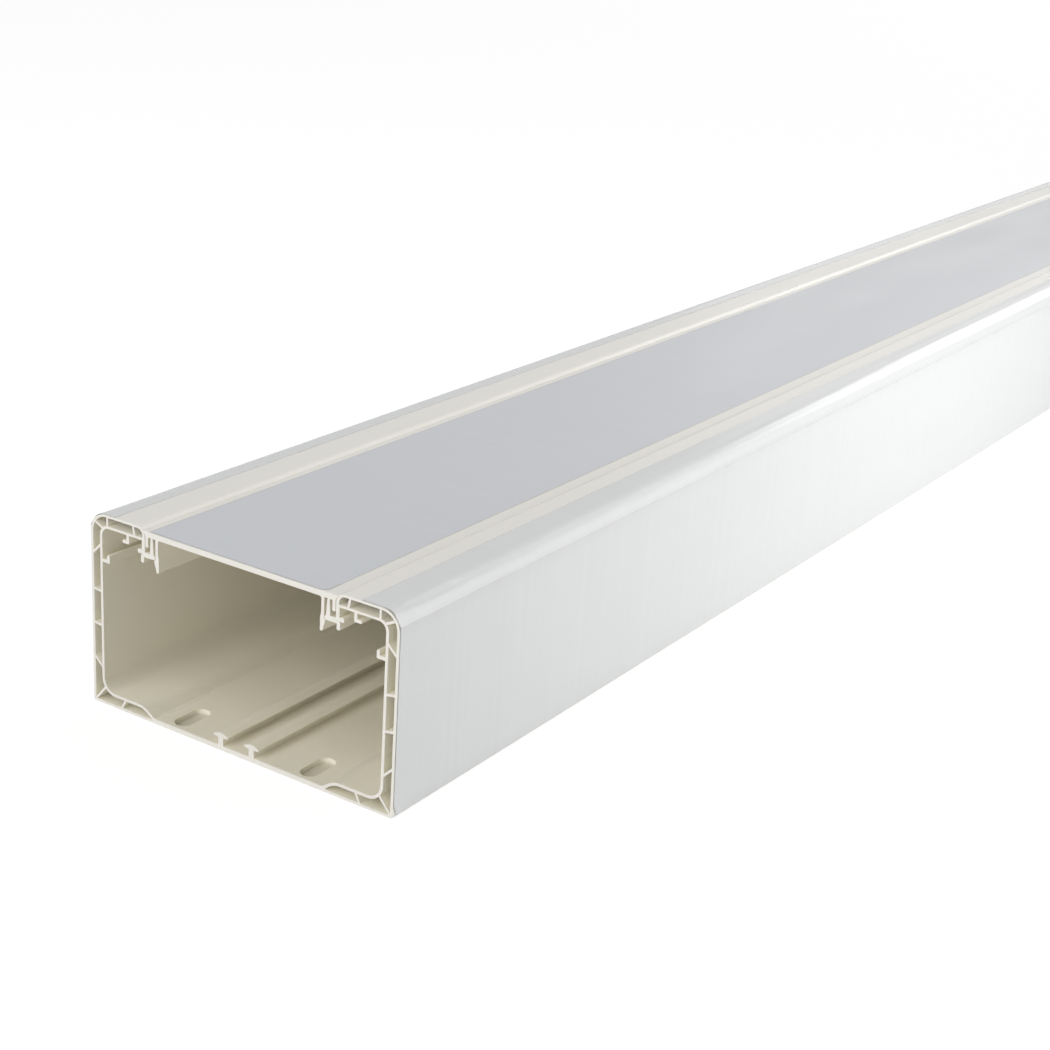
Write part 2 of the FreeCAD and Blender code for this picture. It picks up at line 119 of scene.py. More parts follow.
def grownPiece(name, source, tree, values):
    # Runs a tree on a source mesh and keeps the result as a plain mesh.
    modifier = source.modifiers.new("grow", "NODES")
    modifier.node_group = tree
    places = {item.name: item.identifier for item in tree.interface.items_tree
              if item.item_type == "SOCKET" and item.in_out == "INPUT"}
    for label, value in values.items():
        modifier[places[label]] = value
    graph = bpy.context.evaluated_depsgraph_get()
    mesh = bpy.data.meshes.new_from_object(source.evaluated_get(graph))
    mesh.name = name
    piece = bpy.data.objects.new(name, mesh)
    bpy.context.scene.collection.objects.link(piece)
    bpy.data.objects.remove(source)
    return piece


def plainObject(name, points, edges=(), faces=()):
    mesh = bpy.data.meshes.new(name)
    mesh.from_pydata(points, edges, faces)
    mesh.update()
    thing = bpy.data.objects.new(name, mesh)
    bpy.context.scene.collection.objects.link(thing)
    return thing


def hardenEdges(tree, geometry, degrees):
    # Smooth shading, but sharp where two faces meet at more than this angle.
    angle = addNode(tree, "GeometryNodeInputMeshEdgeAngle").outputs["Unsigned Angle"]
    soft = nodeOut(tree, "FunctionNodeCompare", {0: angle, 1: math.radians(degrees)},
                   data_type="FLOAT", operation="LESS_THAN")
    faces = nodeOut(tree, "GeometryNodeSetShadeSmooth", {"Geometry": geometry})
    return nodeOut(tree, "GeometryNodeSetShadeSmooth", {"Geometry": faces, "Shade Smooth": soft},
                   domain="EDGE")


# The extruded section, in millimetres: across from the middle and up from the back.

profile = {
    "width": 130, "height": 70,
    "cornerRound": 7, "backRound": 0.8,
    "skin": 1.05, "flangeSkin": 0.85, "wall": 5.2, "flange": 4.7, "hump": 5.1, "floorSkin": 1.85,
    "innerFrontRound": 3, "innerBackRound": 5,
    "rampTop": 23.9, "rampRun": 4.5, "rampTopRound": 9, "rampFootRound": 1.5,
    "webThickness": 0.8, "flangeWebOuter": 7.6, "flangeWebInner": 19.7, "flangeWebLean": 0.8,
    "frontWebOuterAngle": 36, "frontWebInnerAngle": 46,
    "highBraceDrop": 13, "highBraceRise": 4.1, "upperWebDrop": 28, "lowerWebHeight": 29.5,
    "wallWebFall": 0.6, "lowBraceHeight": 15.5, "lowBraceFall": 4.1,
    "backWebPlace": 14.1, "backWebLean": 2.3, "backCornerAngle": 38,
    "flangeReach": 24.75, "lipRound": 3.3,
    "legThickness": 1.4, "legDrop": 12.4, "legJog": 0.4,
    "knobRound": 0.85, "knobNeck": 1.2, "knobReach": 2.45, "knobDrop": 8.7,
    "footDrop": 8.6, "footThickness": 1.75, "channelWidth": 2.2,
    "ridgeThickness": 1.7, "ridgeTaper": 0.4, "toeReach": 0.6, "toeThickness": 0.5,
    "lidThickness": 2, "lidRecess": 1, "sideClearance": 0.25, "snapClearance": 0.2,
    "lidEdgeRound": 0.1, "lidLipReach": 1.1, "lidLipFace": 0.45, "lidLipRoot": 1.7,
    "lidLipLean": 0.36, "guideThickness": 1.2, "guideLength": 3.6,
    "snapThickness": 1.15, "barbReach": 0.6, "barbLength": 4.6, "barbLedgeFall": 0.6,
    "barbTip": 0.95, "barbBack": 0.35, "barbBackRise": 1.6, "snapRootRound": 0.8,
    "flangeHookPlace": 17, "flangeHookDrop": 3.1, "flangeHookReach": 2.9,
    "wallHookDrop": 17.2, "wallHookReach": 3.3, "wallHookRise": 2.9, "hookThickness": 1.15,
    "railSpacing": 13.3, "railHeight": 6.45, "railStem": 2.2, "railHead": 6.3,
    "railHeadEdge": 0.5, "railHeadDome": 1, "railHeadFlat": 1.6,
    "hollowRound": 0.3, "tipRound": 0.3,
    "nearlyWhole": 0.999,  # share of a square's half that its rounds may take
    "arcStep": 9, "fewestSteps": 3,  # degrees between a round's points, and its fewest steps
    "guard": 0.25,  # keeps the shading of a flat face flat beside its rounds
    "touching": 0.001,  # a point this near a line lies on it
}


class Section:
    # The profile's sizes as plain attributes, with the places that several outlines share.
    def __init__(self, sizes):
        self.__dict__.update(sizes)
        self.side = self.width / 2
        self.cavity = self.side - self.wall
        self.flangeUnder = self.height - self.flange
        self.lip = self.side - self.flangeReach
        self.lidTop = self.height - self.lidRecess
        self.lidUnder = self.lidTop - self.lidThickness
        self.footTop = self.height - self.footDrop
        self.footUnder = self.footTop - self.footThickness
        self.ridgeOuter = self.lip - self.channelWidth
        self.ridgeInner = self.ridgeOuter - self.ridgeThickness
        self.toeTip = self.ridgeInner - self.toeReach
        self.toeMiddle = self.footUnder + self.footThickness / 2


size = Section(profile)


def shellOutline(s):
    return [
        (0, 0), (s.side, 0, s.backRound), (s.side, s.height, s.cornerRound),
        (s.lip, s.height, s.lipRound), (s.lip, s.flangeUnder),
        (s.cavity, s.flangeUnder, s.innerFrontRound), (s.cavity, s.hump, s.innerBackRound),
        (s.side - s.rampTop, s.hump, s.rampTopRound),
        (s.side - s.rampTop - s.rampRun, s.floorSkin, s.rampFootRound), (0, s.floorSkin),
    ]


def rampPlace(s, level):
    # Across the width to the slope's underside at a level, square to the slope.
    fall = s.hump - s.floorSkin
    squareSkin = math.hypot(s.rampRun, fall) * s.skin / fall
    return s.side - s.rampTop + squareSkin - (s.hump - level) * s.rampRun / fall


def hollowOutline(s):
    outer = s.side - s.skin
    inner = s.cavity + s.skin
    humpUnder = s.hump - s.skin
    top = s.height - s.flangeSkin
    bottom = s.flangeUnder + s.flangeSkin
    return [
        (rampPlace(s, s.skin), s.skin, s.hollowRound), (outer, s.skin, s.hollowRound),
        (outer, top, s.cornerRound - s.skin), (s.lip + s.skin, top, s.lipRound - s.flangeSkin),
        (s.lip + s.skin, bottom, s.hollowRound), (inner, bottom, s.innerFrontRound + s.flangeSkin),
        (inner, humpUnder, s.innerBackRound + s.skin),
        (rampPlace(s, humpUnder), humpUnder, s.rampTopRound - s.skin),
    ]


def web(s, start, end):
    # A strip of even thickness from the middle of one skin to the middle of the other.
    across, up = end[0] - start[0], end[1] - start[1]
    share = s.webThickness / 2 / math.hypot(across, up)
    dx, dz = up * share, across * share
    return [(start[0] + dx, start[1] - dz), (end[0] + dx, end[1] - dz),
            (end[0] - dx, end[1] + dz), (start[0] - dx, start[1] + dz)]


def wallWeb(s, middle, rise):
    half = s.skin / 2
    return web(s, (s.side - half, middle - rise / 2), (s.cavity + half, middle + rise / 2))


def flangeWeb(s, place, lean):
    half = s.flangeSkin / 2
    middle = s.side - place
    return web(s, (middle + lean / 2, s.height - half), (middle - lean / 2, s.flangeUnder + half))


def onRound(across, up, radius, degrees):
    turn = math.radians(degrees)
    return across + radius * math.cos(turn), up + radius * math.sin(turn)


def allWebs(s):
    half = s.skin / 2
    backMiddle = s.side - s.backWebPlace
    frontOuter = onRound(s.side - s.cornerRound, s.height - s.cornerRound,
                         s.cornerRound - half, s.frontWebOuterAngle)
    frontInner = onRound(s.cavity - s.innerFrontRound, s.flangeUnder - s.innerFrontRound,
                         s.innerFrontRound + half, s.frontWebInnerAngle)
    backInner = onRound(s.cavity - s.innerBackRound, s.hump + s.innerBackRound,
                        s.innerBackRound + half, -s.backCornerAngle)
    return [
        wallWeb(s, s.height - s.highBraceDrop, s.highBraceRise),
        wallWeb(s, s.height - s.upperWebDrop, -s.wallWebFall),
        wallWeb(s, s.lowerWebHeight, -s.wallWebFall),
        wallWeb(s, s.lowBraceHeight, -s.lowBraceFall),
        flangeWeb(s, s.flangeWebOuter, 0),
        flangeWeb(s, s.flangeWebInner, s.flangeWebLean),
        web(s, (backMiddle + s.backWebLean / 2, half),
            (backMiddle - s.backWebLean / 2, s.hump - half)),
        web(s, frontOuter, frontInner),
        web(s, (s.side - s.skin, s.skin), backInner),
    ]


def clipOutline(s):
    # Leg below the lip, the foot that turns inwards, its ridge and the toe.
    outer = s.lip + s.legThickness
    root = s.flangeUnder + s.flangeSkin / 2
    bottom = s.height - s.legDrop
    toeHalf = s.toeThickness / 2
    return [
        (s.lip, root), (s.lip, s.footTop), (s.ridgeOuter, s.footTop),
        (s.ridgeOuter - s.ridgeTaper, s.lidUnder, s.tipRound),
        (s.ridgeInner + s.ridgeTaper, s.lidUnder, s.tipRound), (s.ridgeInner, s.footTop),
        (s.toeTip, s.toeMiddle + toeHalf), (s.toeTip, s.toeMiddle - toeHalf),
        (s.ridgeInner, s.footUnder), (s.lip + s.legJog, s.footUnder),
        (s.lip + s.legJog, bottom, s.tipRound), (outer + s.legJog, bottom, s.tipRound),
        (outer + s.legJog, s.footUnder), (outer, s.footTop), (outer, root),
    ]


def knobOutlines(s):
    # The bead on the leg, as a square that is rounded right off, and its neck.
    half = s.knobNeck / 2
    middle = s.lip + s.knobReach
    up = s.height - s.knobDrop
    bead = [(middle + x * s.knobRound, up + y * s.knobRound, s.knobRound * s.nearlyWhole)
            for x, y in squareCorners]
    root = s.lip + s.legThickness / 2
    return [bead, [(root, up - half), (middle, up - half), (middle, up + half), (root, up + half)]]


def hookOutlines(s):
    half = s.hookThickness / 2
    stem = s.side - s.flangeHookPlace
    bottom = s.flangeUnder - s.flangeHookDrop
    root = s.flangeUnder + s.flangeSkin / 2
    reach = stem - half + s.flangeHookReach
    end = s.cavity - s.wallHookReach
    under = s.height - s.wallHookDrop
    top = under + s.wallHookRise
    ledge = under + s.hookThickness
    inWall = s.cavity + s.skin / 2
    return [
        [(stem - half, root), (stem - half, bottom, s.tipRound), (reach, bottom, s.tipRound),
         (reach, bottom + s.hookThickness, s.tipRound), (stem + half, bottom + s.hookThickness),
         (stem + half, root)],
        [(inWall, under), (inWall, ledge), (end + s.hookThickness, ledge),
         (end + s.hookThickness, top, s.tipRound), (end, top, s.tipRound),
         (end, under, s.tipRound)],
    ]


def railOutline(s):
    # Mushroom-headed rail on the floor.
    middle, flat = s.railSpacing / 2, s.railHeadFlat / 2
    stem, head = s.railStem / 2, s.railHead / 2
    shoulder = s.railHeight - s.railHeadDome
    under = shoulder - s.railHeadEdge
    root = s.floorSkin / 2
    return [
        (middle + stem, root), (middle + stem, under - s.tipRound), (middle + head, under),
        (middle + head, shoulder), (middle + flat, s.railHeight, s.railHeadFlat),
        (middle - flat, s.railHeight, s.railHeadFlat), (middle - head, shoulder),
        (middle - head, under), (middle - stem, under - s.tipRound), (middle - stem, root),
    ]


def lidOutline(s):
    # Plate with a thin lip that closes the gap, guide leg at its edge, snap leg with its barb.
    edge = s.lip - s.sideClearance
    guideInner = edge - s.guideThickness
    guideEnd = s.lidUnder - s.guideLength
    snapOuter = s.toeTip - s.snapClearance
    snapInner = snapOuter - s.snapThickness
    ledge = s.toeMiddle - s.toeThickness / 2 - s.snapClearance
    barbInner = snapInner - s.barbBack
    barbEnd = ledge - s.barbLength
    return [
        (0, s.lidUnder), (snapInner, s.lidUnder, s.snapRootRound),
        (snapInner, ledge + s.barbBackRise), (barbInner, ledge),
        (barbInner, barbEnd, s.tipRound), (barbInner + s.barbTip, barbEnd, s.tipRound),
        (snapOuter + s.barbReach, ledge - s.barbLedgeFall), (snapOuter, ledge),
        (snapOuter, s.lidUnder), (guideInner, s.lidUnder), (guideInner, guideEnd, s.tipRound),
        (edge, guideEnd, s.tipRound), (edge, s.lidTop - s.lidLipRoot),
        (edge + s.lidLipReach - s.lidLipLean, s.lidTop - s.lidLipFace),
        (edge + s.lidLipReach, s.lidTop, s.lidEdgeRound), (0, s.lidTop),
    ]


def roundedPoints(corners, closed=True, arcStep=None):
    # Turns corners into points, with short arcs where a corner has a radius.
    arcStep = arcStep or size.arcStep
    count = len(corners)
    runs = []
    for index, corner in enumerate(corners):
        here = Vector(corner[:2])
        inside = closed or 0 < index < count - 1
        if len(corner) < 3 or not inside:
            runs.append([here])
            continue
        arriving = (here - Vector(corners[index - 1][:2])).normalized()
        leaving = (Vector(corners[(index + 1) % count][:2]) - here).normalized()
        turn = math.atan2(arriving.cross(leaving), arriving.dot(leaving))
        tangent = corner[2] * math.tan(abs(turn) / 2)
        start = here - arriving * tangent
        normal = Vector((-arriving.y, arriving.x)) * math.copysign(1, turn)
        centre = start + normal * corner[2]
        steps = max(size.fewestSteps, math.ceil(abs(math.degrees(turn)) / arcStep))
        spoke = start - centre
        arc = []
        for step in range(steps + 1):
            angle = turn * step / steps
            cosine, sine = math.cos(angle), math.sin(angle)
            offset = Vector((spoke.x * cosine - spoke.y * sine, spoke.x * sine + spoke.y * cosine))
            arc.append(centre + offset)
        runs.append(arc)
    points = []
    for index, run in enumerate(runs):
        points.extend(run)
        if not closed and index == count - 1:
            break
        following = runs[(index + 1) % count]
        gap = following[0] - run[-1]
        if gap.length > 4 * size.guard:
            along = gap.normalized() * size.guard
            if len(run) > 1:
                points.append(run[-1] + along)
            if len(following) > 1:
                points.append(following[0] - along)
    return points


def signedArea(points):
    return sum(a.cross(b) for a, b in zip(points, points[1:] + points[:1])) / 2


def bothSides(outlines):
    rounded = [roundedPoints(outline) for outline in outlines]
    return rounded + [[Vector((-p.x, p.y)) for p in points] for points in rounded]


def liesOn(point, outline):
    for first, second in zip(outline, outline[1:] + outline[:1]):
        foot, share = intersect_point_line(point, first, second)
        inReach = -size.touching < share < 1 + size.touching
        if inReach and (foot.xy - point).length < size.touching:
            return True
    return False


def sectionObject(name, solids, hollows=(), added=()):
    # Flat mesh of a section: the solids less the hollows, with the added outlines joined on.
    # Its "cell" attribute marks the points that line the hollows, where the cream material paints
    # its lightest colour, painted bounce light.
    coordinates, loops, kinds = [], [], []
    for kind, outlines in (("solid", solids), ("hollow", hollows), ("added", added)):
        for points in bothSides(outlines):
            ordered = points if signedArea(points) > 0 else points[::-1]
            loops.append(list(range(len(coordinates), len(coordinates) + len(ordered))))
            coordinates.extend(ordered)
            kinds.append(kind)
    # triangles inside the outlines, each with the numbers of the outlines that it lies in
    points, _, faces, _, _, owners = delaunay_2d_cdt(coordinates, [], loops, 1, 1e-5, True)
    kept = []
    for face, owner in zip(faces, owners):
        inside = {kinds[index] for index in owner}
        if "added" in inside or ("solid" in inside and "hollow" not in inside):
            kept.append(face)
    used = sorted({index for face in kept for index in face})
    place = {index: number for number, index in enumerate(used)}
    flat = [(0, points[index].x * mm, points[index].y * mm) for index in used]
    section = plainObject(name, flat, faces=[[place[index] for index in face] for face in kept])
    linings = bothSides(hollows)
    cell = section.data.attributes.new("cell", "FLOAT", "POINT")
    cell.data.foreach_set("value", [float(any(liesOn(points[index], lining) for lining in linings))
                                    for index in used])
    return section


def join(tree, *pieces):
    node = addNode(tree, "GeometryNodeJoinGeometry")
    for piece in pieces:
        tree.links.new(piece, node.inputs[0])
    return node.outputs[0]


def pullSolid(tree, flat, offset, share=1.0):
    # Pulls a flat mesh along an offset and closes it: the end that it was pulled from is
    # turned to face out, and the two are welded together.
    pulled = nodeOut(tree, "GeometryNodeExtrudeMesh",
                     {"Mesh": flat, "Offset": offset, "Offset Scale": share,
                      "Individual": False}, mode="FACES")
    turned = nodeOut(tree, "GeometryNodeFlipFaces", {0: flat})
    return nodeOut(tree, "GeometryNodeMergeByDistance",
                   {"Geometry": join(tree, turned, pulled), "Distance": weldDistance})


stock = {
    "length": 2.0, "slotPairs": 6, "slotRow": 0.0275, "slotEnd": 0.009,
    "slotLength": 0.0148, "slotWidth": 0.0065, "slotDepth": 0.004,
    "slotRoundShare": 0.4995, "slotRoundPoints": 10,  # the rounds take nearly half the width
    "hardAngle": 32,  # degrees between two faces from which their edge is sharp
    "cutFacing": 0.99, "cutMargin": 1e-4,  # how a sawn face is told from a wall
}


def makeStockTree():
    tree, given, result = newGeometryTree("stockLength", [
        ("Length", "Float"), ("Slot Rows", "Int"), ("Slot Pairs", "Int"), ("Slot Row", "Float"),
        ("Slot End", "Float"), ("Slot Length", "Float"), ("Slot Width", "Float"),
        ("Slot Depth", "Float"), ("Wall Material", "Material"), ("Cut Material", "Material"),
    ])
    halfBack = times(tree, given["Length"], -0.5)
    flat = nodeOut(tree, "GeometryNodeTransform",
                   {"Geometry": given["Geometry"],
                    "Translation": combine(tree, X=halfBack)})
    bar = pullSolid(tree, flat, combine(tree, X=given["Length"]))

    # one slot cutter: a rounded rectangle pulled through the floor
    outline = nodeOut(tree, "GeometryNodeCurvePrimitiveQuadrilateral",
                      {"Width": given["Slot Length"], "Height": given["Slot Width"]})
    slotRound = times(tree, given["Slot Width"], stock["slotRoundShare"])
    rounded = nodeOut(tree, "GeometryNodeFilletCurve",
                      {"Curve": outline, "Count": stock["slotRoundPoints"],
                       "Radius": slotRound, "Limit Radius": True}, mode="POLY")
    plate = nodeOut(tree, "GeometryNodeFillCurve", {"Curve": rounded})
    under = combine(tree, Z=times(tree, given["Slot Depth"], -1))
    lowered = nodeOut(tree, "GeometryNodeTransform",
                      {"Geometry": plate, "Translation": under})
    cutter = pullSolid(tree, lowered, combine(tree, Z=times(tree, given["Slot Depth"], 2)))

    # pairs of slots along the length
    span = minus(tree, given["Length"], times(tree, given["Slot End"], 2))
    pitch = maths(tree, "DIVIDE", span, minus(tree, given["Slot Pairs"], 1))
    first = plus(tree, halfBack, given["Slot End"])
    row = nodeOut(tree, "GeometryNodeMeshLine",
                  {"Count": given["Slot Pairs"], "Offset": combine(tree, X=pitch),
                   "Start Location": combine(tree, X=first, Y=given["Slot Row"])},
                  mode="OFFSET")
    otherRow = nodeOut(tree, "GeometryNodeTransform",
                       {"Geometry": row, "Scale": (1, -1, 1)})
    cutters = nodeOut(tree, "GeometryNodeInstanceOnPoints",
                      {"Points": join(tree, row, otherRow), "Instance": cutter})
    solidCutters = nodeOut(tree, "GeometryNodeRealizeInstances", {0: cutters})
    pierced = nodeOut(tree, "GeometryNodeMeshBoolean", {"Mesh 1": bar, "Mesh 2": solidCutters},
                      operation="DIFFERENCE", solver="EXACT")
    hasSlots = maths(tree, "GREATER_THAN", given["Slot Rows"], 0.5)
    chosen = nodeOut(tree, "GeometryNodeSwitch",
                     {"Switch": hasSlots, "False": bar, "True": pierced},
                     input_type="GEOMETRY")

    shaded = hardenEdges(tree, chosen, stock["hardAngle"])
    real = nodeOut(tree, "GeometryNodeRealizeInstances", {0: shaded})
    walls = nodeOut(tree, "GeometryNodeSetMaterial",
                    {"Geometry": real, "Material": given["Wall Material"]})
    normal = nodeOut(tree, "GeometryNodeInputNormal")
    place = nodeOut(tree, "GeometryNodeInputPosition")
    facing = maths(tree, "ABSOLUTE", separate(tree, normal)["X"])
    along = maths(tree, "ABSOLUTE", separate(tree, place)["X"])
    end = minus(tree, times(tree, given["Length"], 0.5), stock["cutMargin"])
    isEnd = times(tree, maths(tree, "GREATER_THAN", facing, stock["cutFacing"]),
                  maths(tree, "GREATER_THAN", along, end))
    cut = nodeOut(tree, "GeometryNodeSetMaterial",
                  {"Geometry": walls, "Selection": isEnd, "Material": given["Cut Material"]})
    tree.links.new(cut, result)
    return tree


film = {
    # for the tree, lengths in metres
    "rows": 700, "gap": 0.00002, "thickness": 0.00006, "ragged": 0.0004, "tornCorner": 0.0017,
    "foldStretch": 0.03, "flatStretch": 0.2, "creaseSlant": 10.0, "endReach": 0.012,
    "looseStart": 0.05, "looseEnd": 0.45,
    # how fine each ripple is across the film, its own seed and its detail
    "foldRipple": (380.0, 0.0, 3.0), "flatRipple": (60.0, 7.0, 2.0),
    "flareRipple": (90.0, 3.0, 1.0), "tearRipple": (700.0, 11.0, 4.0),
    "looseRipple": (0.0, 5.0, 2.0),
    "shortStretch": 1.0, "looseStretch": 0.09, "looseSwing": 0.5, "looseLeast": 0.75,
    "creaseSteepness": 5.0, "creaseAway": 0.35, "flatOnset": 0.42, "hardAngle": 40,
    # for the line across the stock, in millimetres and degrees
    "columnStep": 4.0, "arcStep": 6, "edgeWidth": 0.4, "foldReach": 3.0, "creaseWidth": 0.5,
    "foldRound": 6.8, "creaseRound": 0.3, "facetAngle": 57.5, "foldSteps": 12,
    "tornReach": 3.0, "tornSteps": 5, "lowerEdge": 0.9,
    # the loose film: how far in from its edge on the right flange, and how high over it
    "looseLine": [(2, 0.25), (4, 0.6), (6, 0.8), (8, 0.75), (9.5, 0.45), (11, -0.15), (12.3, -1.0),
                  (13.6, -2.6)],
}


def makeFilmTree():
    # Film carried along the stock, close to it but never quite flat.
    tree, given, result = newGeometryTree("filmAlongStock", [
        ("Length", "Float"), ("Rows", "Int"), ("Gap", "Float"), ("Thickness", "Float"),
        ("Fold Lift", "Float"), ("Fold Stretch", "Float"), ("Flat Lift", "Float"),
        ("Flat Stretch", "Float"), ("Crease Slant", "Float"), ("End Lift", "Float"),
        ("End Reach", "Float"), ("Ragged", "Float"), ("Torn Corner", "Float"),
        ("Loose Start", "Float"), ("Loose End", "Float"), ("Loose Amount", "Float"),
        ("Seed", "Float"), ("Material", "Material"),
    ])
    strip = given["Geometry"]
    columns = addNode(tree, "GeometryNodeAttributeDomainSize", {0: strip}).outputs["Point Count"]
    grid = addNode(tree, "GeometryNodeMeshGrid",
                   {"Size X": 2.0, "Size Y": 1.0, "Vertices X": given["Rows"],
                    "Vertices Y": columns}).outputs["Mesh"]
    sheet = nodeOut(tree, "GeometryNodeFlipFaces", {0: grid})

    index = nodeOut(tree, "GeometryNodeInputIndex")
    column = nodeOut(tree, "FunctionNodeIntegerMath", {0: index, 1: columns},
                     operation="MODULO")
    position = nodeOut(tree, "GeometryNodeInputPosition")

    def sampled(value, number=column, kind="FLOAT"):
        # What the strip holds at one of its points.
        return nodeOut(tree, "GeometryNodeSampleIndex",
                       {"Geometry": strip, "Value": value, "Index": number},
                       data_type=kind, domain="POINT", clamp=True)

    def named(label, kind="FLOAT"):
        return nodeOut(tree, "GeometryNodeInputNamedAttribute", {"Name": label},
                       data_type=kind)

    here = sampled(position, column, "FLOAT_VECTOR")
    before = sampled(position, minus(tree, column, 1), "FLOAT_VECTOR")
    after = sampled(position, plus(tree, column, 1), "FLOAT_VECTOR")
    fold, shadedRim, run, torn = [sampled(named(label)) for label in ("fold", "shadedRim", "run", "torn")]
    loose = sampled(named("loose", "FLOAT_VECTOR"), column, "FLOAT_VECTOR")
    tangent = vectorMaths(tree, "SUBTRACT", after, before)
    outward = vectorMaths(tree, "NORMALIZE",
                          vectorMaths(tree, "CROSS_PRODUCT", tangent, (1, 0, 0)))

    # rows stand closer together towards the two ends, where the film is most creased
    step = separate(tree, position)["X"]
    eased = maths(tree, "SINE", times(tree, step, math.pi / 2))
    halfLength = times(tree, given["Length"], 0.5)
    along = times(tree, times(tree, plus(tree, step, eased), 0.5), halfLength)

    def ripple(stretch, across, seed, detail, slant=0.0):
        # Noise that is long along the stock and short across it.
        slanted = plus(tree, times(tree, run, across), times(tree, along, slant))
        place = combine(tree, X=maths(tree, "DIVIDE", along, stretch), Y=slanted)
        return nodeOut(tree, "ShaderNodeTexNoise",
                       {"Vector": place, "W": plus(tree, given["Seed"], seed), "Scale": 1.0,
                        "Detail": detail, "Roughness": noiseRoughness},
                       noise_dimensions="4D")

    fromEnd = minus(tree, halfLength, maths(tree, "ABSOLUTE", along))

    def nearEnd(reach):
        # One at the ends, falling to nothing at this distance from them.
        share = minus(tree, 1.0, maths(tree, "DIVIDE", fromEnd, reach))
        return maths(tree, "MAXIMUM", share, 0.0)

    # creases along the fold, swells on the flats and a flare at the ends lift the film
    wide = ripple(given["Fold Stretch"], *film["foldRipple"], given["Crease Slant"])
    offMiddle = maths(tree, "ABSOLUTE", minus(tree, wide, 0.5))
    ridge = minus(tree, 1.0, times(tree, offMiddle, film["creaseSteepness"]))
    crease = maths(tree, "MAXIMUM", ridge, 0.0)
    handled = plus(tree, film["creaseAway"], nearEnd(given["Flat Stretch"]))
    foldLift = times(tree, times(tree, crease, fold), times(tree, handled, given["Fold Lift"]))
    swell = minus(tree, ripple(given["Flat Stretch"], *film["flatRipple"]), film["flatOnset"])
    flatLift = times(tree, maths(tree, "MAXIMUM", swell, 0.0), given["Flat Lift"])
    freed = maths(tree, "POWER", nearEnd(given["End Reach"]), 2.0)
    flare = times(tree, times(tree, freed, given["End Lift"]),
                  plus(tree, ripple(film["shortStretch"], *film["flareRipple"]), fold))
    lift = plus(tree, plus(tree, given["Gap"], flare), plus(tree, foldLift, flatLift))

    # the torn ends stop a little short of the sawn ones, by an uneven amount
    uneven = times(tree, ripple(film["shortStretch"], *film["tearRipple"]), given["Ragged"])
    corner = times(tree, torn, given["Torn Corner"])
    short = times(tree, plus(tree, uneven, corner), nearEnd(given["End Reach"]))
    pulledIn = minus(tree, along, times(tree, maths(tree, "SIGN", along), short))
    profilePoint = separate(tree, here)
    place = combine(tree, X=pulledIn, Y=profilePoint["Y"], Z=profilePoint["Z"])

    # between the ends the fold stands off the round in a soft bulge
    freedShare = stepBetween(tree, fromEnd, given["Loose Start"], given["Loose End"])
    swing = times(tree, ripple(film["looseStretch"], *film["looseRipple"]), film["looseSwing"])
    waver = plus(tree, swing, film["looseLeast"])
    bulge = scaleVector(tree, loose, times(tree, times(tree, freedShare, waver),
                                           given["Loose Amount"]))
    tight = vectorMaths(tree, "ADD", place, scaleVector(tree, outward, lift))
    target = vectorMaths(tree, "ADD", tight, bulge)

    kept = addNode(tree, "GeometryNodeCaptureAttribute", domain="POINT")
    kept.capture_items.new("VECTOR", "Outward")
    tree.links.new(sheet, kept.inputs["Geometry"])
    tree.links.new(outward, kept.inputs["Outward"])
    marked = nodeOut(tree, "GeometryNodeStoreNamedAttribute",
                     {"Geometry": kept.outputs["Geometry"], "Name": "shadedRim", "Value": shadedRim},
                     data_type="FLOAT", domain="POINT")
    laid = nodeOut(tree, "GeometryNodeSetPosition",
                   {"Geometry": marked, "Position": target})
    thick = pullSolid(tree, laid, kept.outputs["Outward"], given["Thickness"])
    shaded = hardenEdges(tree, thick, film["hardAngle"])
    real = nodeOut(tree, "GeometryNodeRealizeInstances", {0: shaded})
    done = nodeOut(tree, "GeometryNodeSetMaterial",
                   {"Geometry": real, "Material": given["Material"]})
    tree.links.new(done, result)
    return tree


